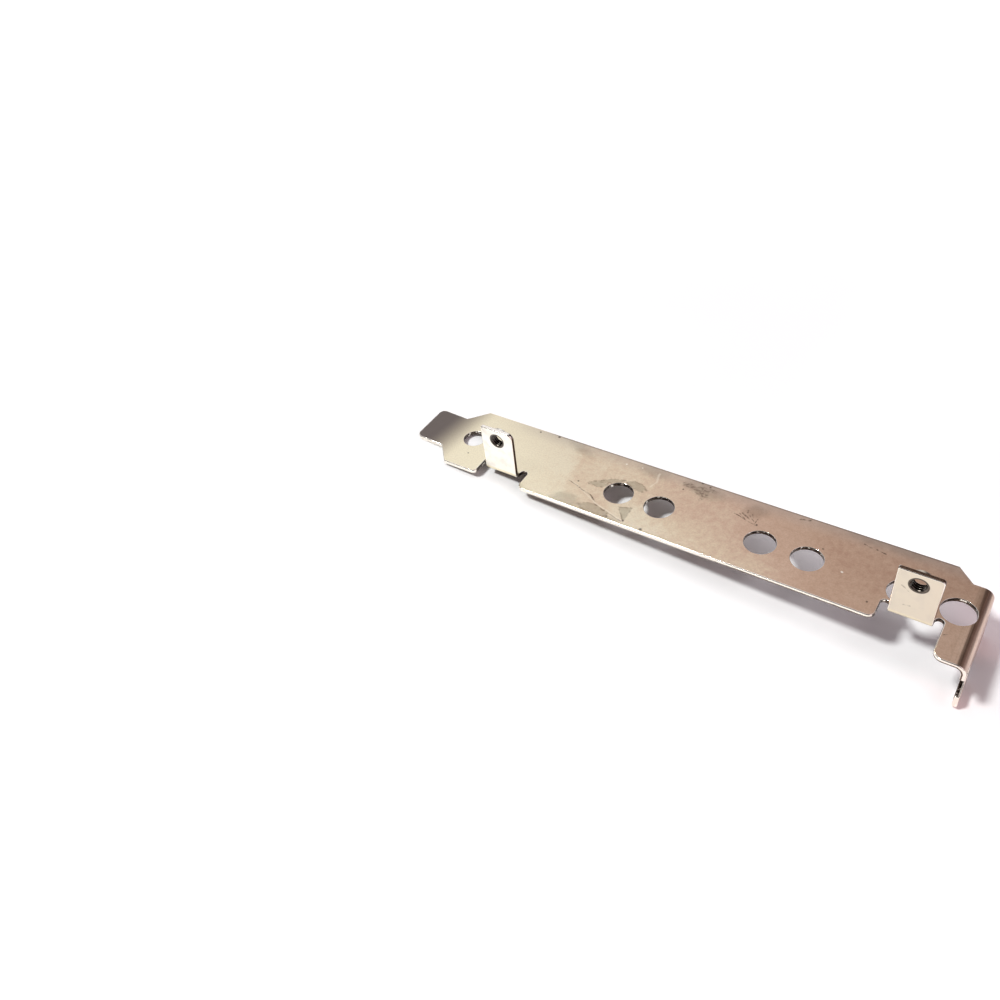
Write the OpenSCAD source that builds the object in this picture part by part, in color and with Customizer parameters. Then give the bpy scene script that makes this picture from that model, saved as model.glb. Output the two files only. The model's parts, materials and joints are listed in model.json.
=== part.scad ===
// Full-height card bracket folded from one piece of plated steel sheet:
// a long plate with a narrow tongue at one end and a screw flange at the other,
// two tapped tabs folded up out of windows in one long edge,
// and a row of round connector holes.
// Millimetres. The bracket lies tabs up, on the tip of its tongue and the end of its flange.

/* [Sheet] */
// thickness of the steel sheet
sheet_thickness = 0.86; // [0.7:0.02:1.1]
// length from the tip of the tongue to the outer corner of the flange
overall_length = 120.02; // [119.2:0.02:123]
// width of the plate between its two long edges
plate_width = 18.42; // [17.6:0.02:19.6]

/* [Tongue] */
// width of the tongue
tongue_width = 10.19; // [8.6:0.01:11]
// length of the tongue from its tip to the shoulders
tongue_length = 7; // [5.5:0.1:7.4]
// length along the plate taken by the slanted shoulders
shoulder_length = 3.55; // [2.5:0.05:4]
// radius of the two corners at the tip of the tongue
tongue_corner_radius = 1.4; // [0.6:0.1:2.4]
// angle by which the tongue is bent up out of the plate
tongue_lift_angle = 3; // [1:0.5:4]
// distance from the tip of the tongue to the middle of its soft bend
tongue_bend_position = 8; // [7:0.1:9]
// inner radius of the soft bend at the root of the tongue
tongue_bend_radius = 60; // [30:1:70]

/* [Flange] */
// depth of the flange measured from the tab side of the plate
flange_depth = 11.43; // [11:0.01:13]
// width of the flange and of the plate just before it
flange_width = 19.05; // [18.6:0.01:19.6]
// how far the ear stands out beyond the long edge that carries the tabs
ear_overhang = 3.62; // [3:0.01:4]
// distance from the outer face of the flange back to the free side of the ear
ear_length = 5.87; // [5.5:0.01:6.1]
// radius of the free corner of the ear
ear_corner_radius = 1.9; // [1:0.1:2.4]
// distance from the outer face of the flange to where the far edge starts to slant inwards
slant_start = 6.8; // [6.6:0.1:7.8]
// angle by which the flange stands open past square
flange_lean = 2.35; // [0:0.05:4]
// inner radius of the bend between plate and flange
flange_bend_radius = 1.2; // [0.8:0.05:1.3]
// radius of the corners at the free end of the flange
flange_corner_radius = 1.3; // [0.5:0.1:1.6]

/* [Flange slots] */
// width of both open slots in the flange
slot_width = 4.42; // [4:0.02:4.6]
// depth of the screw slot that is open at the side of the ear
screw_slot_depth = 5.1; // [4.6:0.1:5.6]
// distance from the tab side of the plate down to the middle of the screw slot
screw_slot_drop = 5.6; // [5.3:0.05:5.8]
// depth of the slot that is open at the free end of the flange
end_slot_depth = 4; // [3.2:0.1:4.2]

/* [Tabs] */
// width of each folded tab
tab_width = 7.7; // [7:0.1:8]
// height of each tab above the plate
tab_height = 11.3; // [11:0.1:13]
// radius of the free corner of both tabs on the tongue's side, nearly left square
tab_tongue_side_radius = 0.3; // [0.2:0.05:1]
// radius of the free corner on the flange's side, of the tab near the tongue
far_tab_corner_radius = 1.4; // [0.8:0.1:2]
// radius of the free corner on the flange's side, of the tab near the flange
near_tab_corner_radius = 0.7; // [0.4:0.1:2]
// inner radius of the bend at the root of each tab
tab_bend_radius = 0.8; // [0.6:0.05:0.9]
// distance from the long edge of the plate in to the outer face of the tabs
tab_inset = 2.41; // [2.2:0.01:2.6]
// distance from the outer face of the flange to the middle of the near tab
near_tab_distance = 11.17; // [11.1:0.01:11.25]
// distance between the middles of the two tabs
tab_spacing = 84.8; // [84:0.1:85.2]
// width of the relief slot on each side of a tab
relief_width = 1.5; // [1.2:0.05:1.6]
// how far the straight sides of the relief slots run past the line where the bend starts
relief_overrun = 0.04; // [0.02:0.02:0.3]
// radius of the plate corner on the tongue side of the far window
far_window_corner_radius = 1; // [0.5:0.1:1.4]
// radius of the plate corners between the two windows
plate_corner_radius = 1.4; // [0.8:0.1:1.8]

/* [Tapped collars] */
// core diameter of the tapped holes
tapped_hole_diameter = 2.5; // [2.2:0.02:2.6]
// height of the tapped holes above the plate
tapped_hole_height = 8.65; // [8.2:0.05:8.7]
// outer diameter of the collar drawn out around each tapped hole
collar_diameter = 4.3; // [4:0.05:4.5]
// how far the collar stands out from the inner face of the tab
collar_height = 0.9; // [0.6:0.05:1.2]
// radius of the drawn-in mouth of each tapped hole
mouth_radius = 0.4; // [0.2:0.05:0.5]
// radius of the hollow fillet at the foot of the collar
collar_foot_radius = 0.3; // [0.15:0.05:0.35]

/* [Connector holes] */
// diameter of the six connector holes
connector_hole_diameter = 6.2; // [6:0.05:6.7]
// distance between the two holes of a pair
pair_spacing = 9.15; // [9:0.05:9.3]
// distance from the outer face of the flange to the middle of the first pair
first_pair_distance = 8.95; // [8.9:0.05:9.1]
// distance from the outer face of the flange to the middle of the second pair
second_pair_distance = 35.75; // [30:0.05:40]
// distance from the outer face of the flange to the middle of the third pair
third_pair_distance = 66.05; // [55:0.05:70]
// how far the connector holes lie from the middle line of the plate towards the tabs
connector_hole_offset = 1.3; // [0.8:0.05:1.5]
// diameter of the small hole near the tongue
small_hole_diameter = 5; // [4:0.1:5.4]
// distance from the tip of the tongue to the small hole
small_hole_position = 12.52; // [12.4:0.02:13.4]

/* [Quality] */
// number of straight pieces drawn round a circle
$fn = 96; // [48:12:144]

/* [Hidden] */

// a small length by which a cutting shape passes the face it cuts
clear = 1;
// x of the outer face of the flange, counted from the tip of the tongue
flange_x = overall_length;
// y of the far long edge, and of the long edge that carries the tabs
far_y = plate_width / 2;
near_y = -plate_width / 2;
// y of the two side edges of the flange
ear_y = near_y - ear_overhang;
inset_y = ear_y + flange_width;
// x of the free side of the ear and of the two ends of the slant on the far edge
ear_x = flange_x - ear_length;
slant_x = flange_x - slant_start;
slant_end_x = slant_x + far_y - inset_y;
// x where the slanted shoulders meet the long edges
shoulder_x = tongue_length + shoulder_length;
// y of the outer face of the tabs, and of the line where their bend starts in the plate
tab_y = near_y + tab_inset;
tab_bend_y = tab_y + sheet_thickness + tab_bend_radius;
// y reached by the rounded ends of the relief slots
relief_y = tab_bend_y + relief_overrun + relief_width / 2;
// x of the middles of the two tabs, and the width of the window each is folded from
near_tab_x = flange_x - near_tab_distance;
far_tab_x = near_tab_x - tab_spacing;
window_width = tab_width + 2 * relief_width;
// y of the row of connector holes, and the x of every hole in it
hole_y = -connector_hole_offset;
pair_distances = [first_pair_distance, second_pair_distance, third_pair_distance];
hole_x = [for (d = pair_distances, side = [-1, 1]) flange_x - d + side * pair_spacing / 2];
// height of the tip of the tongue above the plate, on its tab side
tip_rise = tongue_bend_position * tan(tongue_lift_angle);
// thickness of the bent-up tongue measured straight down
tongue_drop = sheet_thickness / cos(tongue_lift_angle);
// direction in which the flange leaves its outer corner, and the two edges of its free end
// counted from that corner: x along the plate, y up
flange_down = 270 + flange_lean;
outer_end = flange_depth * [cos(flange_down), sin(flange_down)];
inner_end = outer_end - sheet_thickness * [cos(flange_lean), sin(flange_lean)];
// the tilt at which the tip of the tongue and the end of the flange both touch the ground
rest_tilt = atan((tip_rise - tongue_drop - inner_end.y) / (flange_x + inner_end.x));
// the shifts that put the middle of the lying bracket over the origin and its foot at zero
lowest = (tip_rise - tongue_drop) * cos(rest_tilt);
left_end = -tip_rise * sin(rest_tilt);
right_end = (flange_x + outer_end.x) * cos(rest_tilt) - outer_end.y * sin(rest_tilt);
middle_x = (left_end + right_end) / 2;
middle_y = (ear_y + far_y) / 2;

// the small area between a corner and the arc that rounds it off:
// taken away it rounds an outer corner, put in it fills an inner one
// "a" and "b" are the directions of the two sides as they leave the corner
module corner_web(corner, a, b, radius) {
    half = abs(b - a) / 2;
    middle = (a + b) / 2;
    side = radius / tan(half);
    reach = radius / sin(half);
    centre = corner + reach * [cos(middle), sin(middle)];
    beyond = corner - (reach - radius) * [cos(middle), sin(middle)];
    difference() {
        polygon([
            centre,
            corner + side * [cos(a), sin(a)],
            beyond,
            corner + side * [cos(b), sin(b)]
        ]);
        translate(centre) circle(r = radius);
    }
}

// side view of the tongue and its soft bend, counted from the middle of the bend
module tongue_profile(arm) {
    bend_shift = sheet_thickness * tan(tongue_lift_angle / 2);
    run = tongue_bend_position + clear;
    rise = run * tan(tongue_lift_angle);
    away = 180 - tongue_lift_angle;
    difference() {
        union() {
            polygon([
                [-run, rise],
                [0, 0],
                [arm, 0],
                [arm, -sheet_thickness],
                [-bend_shift, -sheet_thickness],
                [-run, rise - tongue_drop]
            ]);
            corner_web([0, 0], 0, away, tongue_bend_radius);
        }
        corner_web([-bend_shift, -sheet_thickness], 0, away, tongue_bend_radius + sheet_thickness);
    }
}

// side view of the flange and its bend, counted from its outer corner,
// drawn a little too long for its free end to be cut
module flange_profile(arm) {
    inner_corner = [-sheet_thickness * tan((90 - flange_lean) / 2), -sheet_thickness];
    extra = clear * [cos(flange_down), sin(flange_down)];
    difference() {
        union() {
            polygon([
                [-arm, 0],
                [0, 0],
                outer_end + extra,
                inner_end + extra,
                inner_corner,
                [-arm, -sheet_thickness]
            ]);
            corner_web(inner_corner, 180, flange_down, flange_bend_radius);
        }
        corner_web([0, 0], 180, flange_down, flange_bend_radius + sheet_thickness);
    }
}

// side view of the folded sheet: x along the plate, y up, tab side of the plate at zero
module fold_profile() {
    tongue_arm = (tongue_bend_radius + sheet_thickness) * tan(tongue_lift_angle / 2) + clear;
    flange_arm = sheet_thickness + flange_bend_radius + clear;
    plate_start = tongue_bend_position + tongue_arm - clear / 2;
    plate_end = flange_x - flange_arm + clear / 2;
    translate([tongue_bend_position, 0]) tongue_profile(tongue_arm);
    translate([plate_start, -sheet_thickness]) square([plate_end - plate_start, sheet_thickness]);
    translate([flange_x, 0]) flange_profile(flange_arm);
}

// the opening a tab is folded out of, with a round-ended relief slot on each side of it
module window(x) {
    start_y = near_y - ear_overhang - clear;
    slot_x = (tab_width + relief_width) / 2;
    round_y = relief_y - relief_width / 2;
    translate([x, 0]) {
        translate([-tab_width / 2, start_y]) square([tab_width, tab_bend_y - start_y]);
        for (side = [-1, 1]) translate([side * slot_x, 0]) {
            translate([-relief_width / 2, start_y]) square([relief_width, round_y - start_y]);
            translate([0, round_y]) circle(d = relief_width);
        }
    }
}

// outline of the sheet seen from above, tongue to the left, tabs on the lower edge
module plan_outline() {
    half_tongue = tongue_width / 2;
    far_side = far_tab_x - window_width / 2;
    plate_start = far_tab_x + window_width / 2;
    plate_end = near_tab_x - window_width / 2;
    end_x = flange_x + outer_end.x + clear;
    difference() {
        polygon([
            [0, half_tongue],
            [tongue_length, half_tongue],
            [shoulder_x, far_y],
            [slant_x, far_y],
            [slant_end_x, inset_y],
            [end_x, inset_y],
            [end_x, ear_y],
            [ear_x, ear_y],
            [ear_x, near_y],
            [shoulder_x, near_y],
            [tongue_length, -half_tongue],
            [0, -half_tongue]
        ]);
        window(far_tab_x);
        window(near_tab_x);
        corner_web([0, half_tongue], 0, -90, tongue_corner_radius);
        corner_web([0, -half_tongue], 0, 90, tongue_corner_radius);
        corner_web([far_side, near_y], 90, 180, far_window_corner_radius);
        corner_web([plate_start, near_y], 0, 90, plate_corner_radius);
        corner_web([plate_end, near_y], 90, 180, plate_corner_radius);
        corner_web([ear_x, ear_y], 0, 90, ear_corner_radius);
    }
}

// the folded sheet before the holes are made: tongue, plate, ear and flange in one
module folded_sheet() {
    top = tip_rise + clear;
    intersection() {
        translate([0, far_y + clear, 0]) rotate([90, 0, 0])
            linear_extrude(height = plate_width + ear_overhang + 2 * clear) fold_profile();
        translate([0, 0, -flange_depth - clear])
            linear_extrude(height = flange_depth + top + clear) plan_outline();
    }
}

// side view of a tab and its root: x across the plate, y up
module tab_profile() {
    inner_y = tab_y + sheet_thickness;
    difference() {
        union() {
            polygon([
                [relief_y, 0],
                [inner_y, 0],
                [inner_y, tab_height],
                [tab_y, tab_height],
                [tab_y, -sheet_thickness],
                [relief_y, -sheet_thickness]
            ]);
            corner_web([inner_y, 0], 0, 90, tab_bend_radius);
        }
        corner_web([tab_y, -sheet_thickness], 0, 90, tab_bend_radius + sheet_thickness);
    }
}

// front view of a tab: its two free corners rounded unlike, the root left square
module tab_face(flange_side_radius) {
    half = tab_width / 2;
    difference() {
        translate([-half, -sheet_thickness - clear])
            square([tab_width, tab_height + sheet_thickness + clear]);
        corner_web([-half, tab_height], 0, -90, tab_tongue_side_radius);
        corner_web([half, tab_height], 180, 270, flange_side_radius);
    }
}

// half section of the collar: radius to the right, height above the inner face upwards
module collar_section() {
    outer = collar_diameter / 2;
    foot = collar_foot_radius;
    rim = foot / 2;
    difference() {
        union() {
            translate([0, -sheet_thickness / 2])
                square([outer, collar_height + sheet_thickness / 2]);
            corner_web([outer, 0], 0, 90, foot);
        }
        corner_web([outer, collar_height], 180, 270, rim);
    }
}

// half section of the tapped hole with its drawn-in mouth, from the outer face upwards
module bore_section() {
    core = tapped_hole_diameter / 2;
    translate([0, -clear]) square([core, sheet_thickness + collar_height + 2 * clear]);
    corner_web([core, 0], 0, 90, mouth_radius);
    translate([0, -clear]) square([core + mouth_radius, clear]);
}

// one tab folded up from the plate, with its collar and its tapped hole
module tab(x, flange_side_radius) {
    across = relief_y - tab_y + clear;
    translate([x, 0, 0]) difference() {
        union() {
            intersection() {
                translate([-tab_width / 2, 0, 0]) rotate([90, 0, 90])
                    linear_extrude(height = tab_width) tab_profile();
                translate([0, tab_y + across, 0]) rotate([90, 0, 0])
                    linear_extrude(height = across + clear) tab_face(flange_side_radius);
            }
            translate([0, tab_y + sheet_thickness, tapped_hole_height]) rotate([-90, 0, 0])
                rotate_extrude() collar_section();
        }
        translate([0, tab_y, tapped_hole_height]) rotate([-90, 0, 0])
            rotate_extrude() bore_section();
    }
}

// the round holes through the plate: the small one by the tongue and the three pairs
module plate_holes() {
    drop = sheet_thickness + flange_bend_radius;
    for (x = hole_x) translate([x, hole_y, -drop])
        cylinder(d = connector_hole_diameter, h = drop + clear);
    translate([small_hole_position, 0, -drop])
        cylinder(d = small_hole_diameter, h = drop + clear);
}

// what is cut from the flange, seen square to it: x across the flange, y up from its corner
module flange_cuts() {
    end_y = -flange_depth;
    round = slot_width / 2;
    // screw slot, open at the side of the ear
    translate([ear_y - clear, -screw_slot_drop - round])
        square([screw_slot_depth - round + clear, slot_width]);
    translate([ear_y + screw_slot_depth - round, -screw_slot_drop]) circle(r = round);
    // slot in the middle of the free end
    translate([(ear_y + inset_y) / 2, 0]) {
        translate([-round, end_y - clear]) square([slot_width, end_slot_depth - round + clear]);
        translate([0, end_y + end_slot_depth - round]) circle(r = round);
    }
    // all that is past the free end, and its two corners
    translate([ear_y - clear, end_y - 2 * clear])
        square([flange_width + 2 * clear, 2 * clear]);
    corner_web([ear_y, end_y], 0, 90, flange_corner_radius);
    corner_web([inset_y, end_y], 90, 180, flange_corner_radius);
}

// the whole bracket with its plate level, counted from the tip of the tongue
module level_bracket() {
    difference() {
        union() {
            folded_sheet();
            tab(far_tab_x, far_tab_corner_radius);
            tab(near_tab_x, near_tab_corner_radius);
        }
        plate_holes();
        translate([flange_x, 0, 0]) rotate([0, -flange_lean, 0])
            translate([-sheet_thickness - clear, 0, 0]) rotate([90, 0, 90])
                linear_extrude(height = sheet_thickness + 2 * clear) flange_cuts();
    }
}

// the bracket lying at rest, tabs up, its middle over the origin
module bracket() {
    color([0.78, 0.74, 0.68])
        translate([-middle_x, -middle_y, -lowest]) rotate([0, -rest_tilt, 0]) level_bracket();
}

bracket();
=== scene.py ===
"""A card bracket for a PCI slot: one folded sheet of nickel-plated steel, lying on a pale table.

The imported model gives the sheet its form. This script rounds its sheared edges, cuts the threads in its two tabs,
and gives it its plating, its stains and its scratches.
"""

import json
import math

import bmesh
import bpy
from mathutils import Matrix, Vector


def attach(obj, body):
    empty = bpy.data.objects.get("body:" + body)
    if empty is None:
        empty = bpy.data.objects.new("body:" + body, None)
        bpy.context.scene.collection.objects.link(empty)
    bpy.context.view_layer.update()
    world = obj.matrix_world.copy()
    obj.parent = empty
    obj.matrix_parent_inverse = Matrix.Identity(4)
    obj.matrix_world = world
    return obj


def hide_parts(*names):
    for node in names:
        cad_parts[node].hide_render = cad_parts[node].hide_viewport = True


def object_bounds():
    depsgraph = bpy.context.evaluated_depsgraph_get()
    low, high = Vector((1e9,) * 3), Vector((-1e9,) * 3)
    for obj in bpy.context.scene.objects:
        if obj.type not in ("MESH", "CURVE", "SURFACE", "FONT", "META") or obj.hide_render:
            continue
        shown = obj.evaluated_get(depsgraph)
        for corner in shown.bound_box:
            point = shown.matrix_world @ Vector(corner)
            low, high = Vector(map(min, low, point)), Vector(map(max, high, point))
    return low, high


MM = 0.001

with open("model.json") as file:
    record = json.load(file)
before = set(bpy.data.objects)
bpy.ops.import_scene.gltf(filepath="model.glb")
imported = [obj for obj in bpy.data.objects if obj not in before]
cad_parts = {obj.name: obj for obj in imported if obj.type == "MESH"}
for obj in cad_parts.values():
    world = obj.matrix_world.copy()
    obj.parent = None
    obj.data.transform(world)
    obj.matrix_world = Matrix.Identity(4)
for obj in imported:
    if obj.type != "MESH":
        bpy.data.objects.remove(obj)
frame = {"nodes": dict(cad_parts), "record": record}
cad_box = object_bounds()
mounts = {mount["name"]: mount for mount in frame["record"]["mounts"]}

# Rounding of the sheared edges and of the punched holes' rims, and the metric thread in the tabs, in millimetres
EDGE_ROUNDING = 0.17
HOLE_ROUNDING = 0.06
ROUNDING_SEGMENTS = 3
THREAD_MINOR_RADIUS = mounts["far_tab_thread"]["dims"]["r_mm"]
THREAD_MAJOR_RADIUS = 1.5
THREAD_PITCH = 0.5
TAP_LENGTH = 5.0
# The radius of a tap's core is this much less than its bore's
TAP_PLAY = 0.02
TAP_FACETS = 48
TAP_ROWS = 120
# A tap's ridge rises from its root to its crest between these shares of the pitch
RIDGE_ROOT = 0.06
RIDGE_CREST = 0.44
# A tap's rows are placed from -0.5 to 0.5 along it, and those past this one close on its axis
LAST_OPEN_ROW = 0.499

# Two faces of the sheet are one if they meet flatter than SAME_FACE. They meet at an edge of it if they turn by
# more than SHEET_EDGE, and shade as a sharp one past SHARP_SHADING. All are angles in degrees.
SAME_FACE = 0.5
SHEET_EDGE = 30.0
SHARP_SHADING = 38.0
# Corners nearer than this, in metres, are one
WELD = 1e-6
# An edge is a round hole's if it is less than this past the hole's wall, and from its middle, in millimetres
HOLE_MARGIN = 0.2
HOLE_REACH = 2.0
# The bracket's material slots
SURFACE, EDGES = 0, 1

# Plate coordinates have their origin at the tongue's tip, on the side where the tabs stand, in the middle of
# the plate's width. X runs to the flange, Y to the edge without tabs, and Z up from the sheet, in millimetres.
FIRST_HOLE_FROM_TIP = 49.395
FIRST_HOLE_OFFSET = -1.3
HALF_SHEET = mounts["connector_hole_1"]["dims"]["length_mm"] / 2
PLATE_NORMAL = Vector(mounts["connector_hole_1"]["axis"]).normalized()
REST_TILT = math.asin(-PLATE_NORMAL.x)
# Where the two bends turn about, seen from the side, and the radius of the sheet's tab side in each
FLANGE_BEND_CENTRE = (118.04, -2.06)
FLANGE_BEND_RADIUS = 2.06
TAB_BEND_CENTRE = (-5.14, 0.8)
TAB_BEND_RADIUS = 0.8
# Where the flange's bend begins along the plate, and where its tones have fully changed
BEND_START = 116.6
BEND_DEEP = 118.2
# A bend's centre is put this far off along its axis, so that places along the axis don't count
BEYOND = 1000.0

# Sizes of the patterns in the metal, in millimetres. The tarnish is cloudy, mottled and speckled, the tabs are
# smeared, the outlines of the stains are wavy and the blotches are spotted. The sheared edges' broken band wanders,
# and the tap chattered in the threads.
CLOUD = 11.11
SMEAR = 2.222
WAVE = 2.0
MOTTLE = 1.25
EDGE_WANDER = 0.8333
SPOT = 0.5263
SPECKLE = 1 / 3
CHATTER = 1 / 9
# Patterns that are drawn out, with their sizes along the plate, across it and through it
BEND_STREAK = (0.3846, 20.0, 0.3846)
ROLLED_GRAIN = (1.111, 1 / 6, 1 / 6)
TEARING = (0.25, 0.25, 2.5)
RELIEF_HEIGHT = 0.1

# The share of a scratch's half width that is marked in full
SCRATCH_CORE = 0.35

# The camera's place in millimetres, its turn in degrees, its lens and its sensor in millimetres
CAMERA_PLACE = (45.400, -123.696, 144.879)
CAMERA_TURN = (43.6914, 1.6503, 33.0868)
LENS = 34.043
SENSOR = 36.0
# Half the side of the table top and the size of its unevenness, in metres
TABLE_HALF = 2.0
UNEVENNESS = 0.05
# The window's direction from the bracket, and its distance in metres
WINDOW_DIRECTION = (-0.44, -0.37, 0.82)
WINDOW_DISTANCE = 2.5
# How much the table glows for the camera in the bracket's shade, and in the open
SHADE_GLOW = 0.012
OPEN_GLOW = 0.16


# ---------------------------------------------------------------------------------------------- helpers


def linear(hex_colour):
    """Turns an sRGB hex colour into linear red, green, blue and alpha."""
    shares = [int(hex_colour[i : i + 2], 16) / 255 for i in (1, 3, 5)]
    return (*[s / 12.92 if s <= 0.04045 else ((s + 0.055) / 1.055) ** 2.4 for s in shares], 1.0)


def add(tree, kind, settings=None, links=None):
    """Adds a node. Settings are its properties. Links are its inputs, each a plain value or another node's output."""
    node = tree.nodes.new(kind)
    for name, value in (settings or {}).items():
        setattr(node, name, value)
    for socket, source in (links or {}).items():
        if isinstance(source, bpy.types.NodeSocket):
            tree.links.new(source, node.inputs[socket])
        else:
            node.inputs[socket].default_value = source
    return node


# Kinds of node that come again and again, each with its settings
STEP = ("ShaderNodeMapRange", {"interpolation_type": "SMOOTHSTEP"})
NOISE = "ShaderNodeTexNoise"
TIMES = ("ShaderNodeMath", {"operation": "MULTIPLY"})
TIMES_PLUS = ("ShaderNodeMath", {"operation": "MULTIPLY_ADD"})
PLUS = ("ShaderNodeMath", {"operation": "ADD"})
MINUS = ("ShaderNodeMath", {"operation": "SUBTRACT"})
LARGER = ("ShaderNodeMath", {"operation": "MAXIMUM"})
ABSOLUTE = ("ShaderNodeMath", {"operation": "ABSOLUTE"})
COSINE = ("ShaderNodeMath", {"operation": "COSINE"})
SINE = ("ShaderNodeMath", {"operation": "SINE"})
VECTOR_TIMES = ("ShaderNodeVectorMath", {"operation": "MULTIPLY"})
VECTOR_PLUS = ("ShaderNodeVectorMath", {"operation": "ADD"})
VECTOR_MINUS = ("ShaderNodeVectorMath", {"operation": "SUBTRACT"})
VECTOR_SCALE = ("ShaderNodeVectorMath", {"operation": "SCALE"})
DOT = ("ShaderNodeVectorMath", {"operation": "DOT_PRODUCT"})
LENGTH = ("ShaderNodeVectorMath", {"operation": "LENGTH"})
BLEND = ("ShaderNodeMix", {"data_type": "RGBA"})
SHADE = ("ShaderNodeMix", {"data_type": "RGBA", "blend_type": "MULTIPLY"})


def new_material(name):
    """An empty material and its node tree."""
    material = bpy.data.materials.new(name)
    material.use_nodes = True
    material.node_tree.nodes.clear()
    return material, material.node_tree


def new_group(name, kind, inputs, output):
    """An empty node group and its inputs. Each input, and the output, is (name, type)."""
    tree = bpy.data.node_groups.new(name, kind)
    for direction, sockets in (("INPUT", inputs), ("OUTPUT", [output])):
        for label, type_name in sockets:
            tree.interface.new_socket(label, in_out=direction, socket_type="NodeSocket" + type_name)
    return tree, add(tree, "NodeGroupInput").outputs


def set_stops(ramp, stops):
    """Sets the stops of a colour ramp, each (place, hex colour), and returns its colour."""
    elements = ramp.color_ramp.elements
    while len(elements) < len(stops):
        elements.new(1.0)
    for element, (place, tint) in zip(elements, stops):
        element.position = place
        element.color = linear(tint)
    return ramp.outputs["Color"]


def new_object(name, data):
    """Links a mesh, a lamp or a camera into the scene at the origin."""
    thing = bpy.data.objects.new(name, data)
    bpy.context.scene.collection.objects.link(thing)
    return thing


def baked_mesh(thing, name):
    """The object's mesh as its modifiers leave it."""
    graph = bpy.context.evaluated_depsgraph_get()
    mesh = bpy.data.meshes.new_from_object(thing.evaluated_get(graph), depsgraph=graph)
    mesh.name = name
    return mesh


# ------------------------------------------------------------------------------------- the thread's tap


def thread_tap_tree():
    """A tap at every point of the incoming mesh: a closed rod with a helical ridge, its axis across the tab."""
    sizes = [(name, "Float") for name in ("Core radius", "Thread depth", "Pitch", "Length")]
    inputs = [("Places", "Geometry"), *sizes, ("Material", "Material")]
    tree, given = new_group("thread_tap", "GeometryNodeTree", inputs, ("Taps", "Geometry"))
    sheet = add(
        tree,
        "GeometryNodeMeshGrid",
        links={"Size X": 1.0, "Size Y": 1.0, "Vertices X": TAP_FACETS + 1, "Vertices Y": TAP_ROWS + 1},
    )
    position = add(tree, "GeometryNodeInputPosition").outputs[0]
    place = add(tree, "ShaderNodeSeparateXYZ", links={0: position})
    turn = add(tree, *PLUS, {0: place.outputs[0], 1: 0.5}).outputs[0]
    climb = add(tree, *TIMES, {0: place.outputs[1], 1: given["Length"]}).outputs[0]
    turns_climbed = add(tree, "ShaderNodeMath", {"operation": "DIVIDE"}, {0: climb, 1: given["Pitch"]}).outputs[0]
    phase = add(tree, *MINUS, {0: turns_climbed, 1: turn}).outputs[0]
    # A ridge that peaks once a pitch, with a flat on its crest and another at its root
    saw = add(tree, "ShaderNodeMath", {"operation": "PINGPONG"}, {0: phase, 1: 0.5}).outputs[0]
    limits = {"Value": saw, "From Min": RIDGE_ROOT, "From Max": RIDGE_CREST}
    ridge = add(tree, "ShaderNodeMapRange", links=limits).outputs[0]
    swell = add(tree, *TIMES, {0: ridge, 1: given["Thread depth"]}).outputs[0]
    radius = add(tree, *PLUS, {0: swell, 1: given["Core radius"]}).outputs[0]
    # The first and the last row close on the axis
    from_middle = add(tree, *ABSOLUTE, {0: place.outputs[1]}).outputs[0]
    inside = add(tree, "ShaderNodeMath", {"operation": "LESS_THAN"}, {0: from_middle, 1: LAST_OPEN_ROW}).outputs[0]
    reach = add(tree, *TIMES, {0: radius, 1: inside}).outputs[0]
    angle = add(tree, *TIMES, {0: turn, 1: math.tau}).outputs[0]
    cosine = add(tree, *COSINE, {0: angle}).outputs[0]
    sine = add(tree, *SINE, {0: angle}).outputs[0]
    across = add(tree, *TIMES, {0: cosine, 1: reach}).outputs[0]
    upward = add(tree, *TIMES, {0: sine, 1: reach}).outputs[0]
    point = add(tree, "ShaderNodeCombineXYZ", links={0: across, 1: upward, 2: climb}).outputs[0]
    wrapped = add(tree, "GeometryNodeSetPosition", links={"Geometry": sheet.outputs["Mesh"], "Position": point})
    closed = add(tree, "GeometryNodeMergeByDistance", links={"Geometry": wrapped.outputs[0], "Distance": WELD})
    taps = add(
        tree,
        "GeometryNodeInstanceOnPoints",
        links={"Points": given["Places"], "Instance": closed.outputs[0], "Rotation": (math.pi / 2, 0.0, 0.0)},
    )
    real = add(tree, "GeometryNodeRealizeInstances", links={0: taps.outputs[0]})
    dressed = {"Geometry": real.outputs[0], "Material": given["Material"]}
    finished = add(tree, "GeometryNodeSetMaterial", links=dressed)
    add(tree, "NodeGroupOutput", links={"Taps": finished.outputs[0]})
    return tree


def make_taps(material):
    """The two taps, one in each tab's hole, as a plain mesh."""
    places = bpy.data.meshes.new("tap_places")
    places.from_pydata([mounts[name]["pos_m"] for name in ("far_tab_thread", "near_tab_thread")], [], [])
    taps = new_object("thread_taps", places)
    modifier = taps.modifiers.new("thread_tap", "NODES")
    modifier.node_group = thread_tap_tree()
    sockets = {item.name: item.identifier for item in modifier.node_group.interface.items_tree}
    modifier[sockets["Core radius"]] = (THREAD_MINOR_RADIUS - TAP_PLAY) * MM
    modifier[sockets["Thread depth"]] = (THREAD_MAJOR_RADIUS - THREAD_MINOR_RADIUS + TAP_PLAY) * MM
    modifier[sockets["Pitch"]] = THREAD_PITCH * MM
    modifier[sockets["Length"]] = TAP_LENGTH * MM
    modifier[sockets["Material"]] = material
    mesh = baked_mesh(taps, "thread_taps")
    taps.modifiers.clear()
    taps.data = mesh
    shell = bmesh.new()
    shell.from_mesh(mesh)
    bmesh.ops.recalc_face_normals(shell, faces=shell.faces)
    shell.to_mesh(mesh)
    shell.free()
    return taps


# ---------------------------------------------------------------------------------------- the materials


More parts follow.
